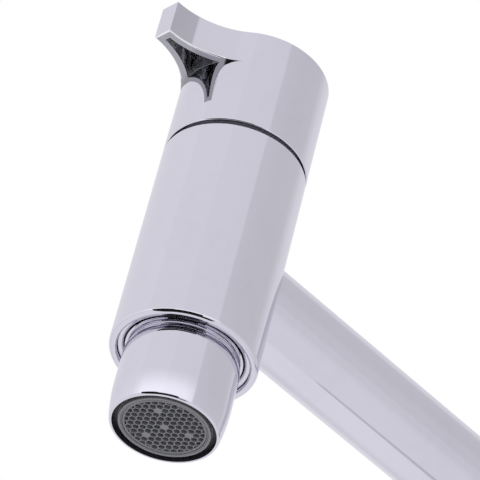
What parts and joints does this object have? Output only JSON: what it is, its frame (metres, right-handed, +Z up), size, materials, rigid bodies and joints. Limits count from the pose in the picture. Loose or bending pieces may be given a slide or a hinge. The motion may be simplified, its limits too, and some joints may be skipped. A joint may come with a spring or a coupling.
{
  "type": "kitchen tap",
  "caption": "Deck-mounted swan-neck kitchen tap with a cylindrical head holding the turning lever cap and mixer cartridge, a ball-jointed nozzle with an aerator and a swivelling neck.",
  "frame": {"origin": "on the riser's axis at the worktop's surface, in the middle of the hole that the threaded shank goes through", "axes": "+Z up along the riser; the arm and the lever's fin point along -Y; +X is the right hand of someone who stands in front of the tap"},
  "size_m": [0.054, 0.287, 0.4362],
  "materials": {
    "polished_chrome": "mirror-polished chrome plate on brass",
    "brass": "machined brass",
    "copper_tube": "drawn copper tube",
    "black_plastic": "moulded black plastic",
    "grey_plastic": "moulded grey plastic",
    "white_plastic": "moulded white plastic",
    "acetal": "machined acetal",
    "ceramic": "lapped alumina",
    "rubber": "black rubber",
    "steel": "stainless steel"
  },
  "bodies": {
    "base": {"base_rosette": "polished_chrome", "base_gasket": "rubber", "base_body": "polished_chrome", "base_collar": "polished_chrome", "riser_dust_seal": "rubber", "upper_swivel_bush": "acetal", "lower_swivel_bush": "acetal", "bush_snap_ring": "steel", "thrust_washer": "acetal", "swivel_stop_screw": "steel", "threaded_shank": "brass", "under_worktop_seal": "rubber", "clamp_washer": "steel", "back_nut": "brass"},
    "spout": {"barrel_shell": "polished_chrome", "outlet_collar": "polished_chrome", "spout_tube": "polished_chrome", "mixing_body": "brass", "arm_union": "brass", "swivel_ball": "brass", "hot_inlet_socket": "brass", "cold_inlet_socket": "brass", "swivel_hub": "brass", "cartridge_nut": "brass", "hot_feed_tube": "copper_tube", "cold_feed_tube": "copper_tube", "glide_ring": "black_plastic", "cartridge_base": "white_plastic", "cartridge_housing": "white_plastic", "riser_tube_clip": "white_plastic", "arm_tube_clip": "white_plastic", "fixed_disc": "ceramic", "feed_tube_seals": "rubber", "port_seals": "rubber"},
    "lever": {"lever_cap": "polished_chrome", "cap_grub_screw": "steel", "grub_screw_plug": "polished_chrome", "cartridge_spindle": "brass", "disc_carrier": "white_plastic", "moving_disc": "ceramic", "spindle_seal": "rubber"},
    "joint_ring": {"slip_ring": "acetal"},
    "nozzle": {"ball_retaining_ring": "brass", "ball_seal": "rubber", "nozzle_core": "black_plastic", "nozzle_sleeve": "polished_chrome", "aerator_housing": "grey_plastic", "aerator_grid": "grey_plastic", "aerator_jet_plate": "white_plastic", "flow_regulator": "white_plastic", "aerator_filter": "white_plastic", "aerator_gasket": "rubber"}
  },
  "joints": [
    {"name": "spout_swivel", "type": "hinge", "parent": "base", "child": "spout", "pos_m": [0, 0, 0], "axis": [0, 0, 1], "range_deg": [-60, 60]},
    {"name": "lever_turn", "type": "hinge", "parent": "spout", "child": "lever", "pos_m": [0, -0.22, 0.34], "axis": [0, 0, 1], "range_deg": [0, 105]},
    {"name": "nozzle_spin", "type": "hinge", "parent": "spout", "child": "joint_ring", "pos_m": [0, -0.22, 0.2682], "axis": [0, 0, 1], "continuous": true},
    {"name": "nozzle_tilt", "type": "hinge", "parent": "joint_ring", "child": "nozzle", "pos_m": [0, -0.22, 0.2682], "axis": [1, 0, 0], "range_deg": [-10, 10]}
  ]
}
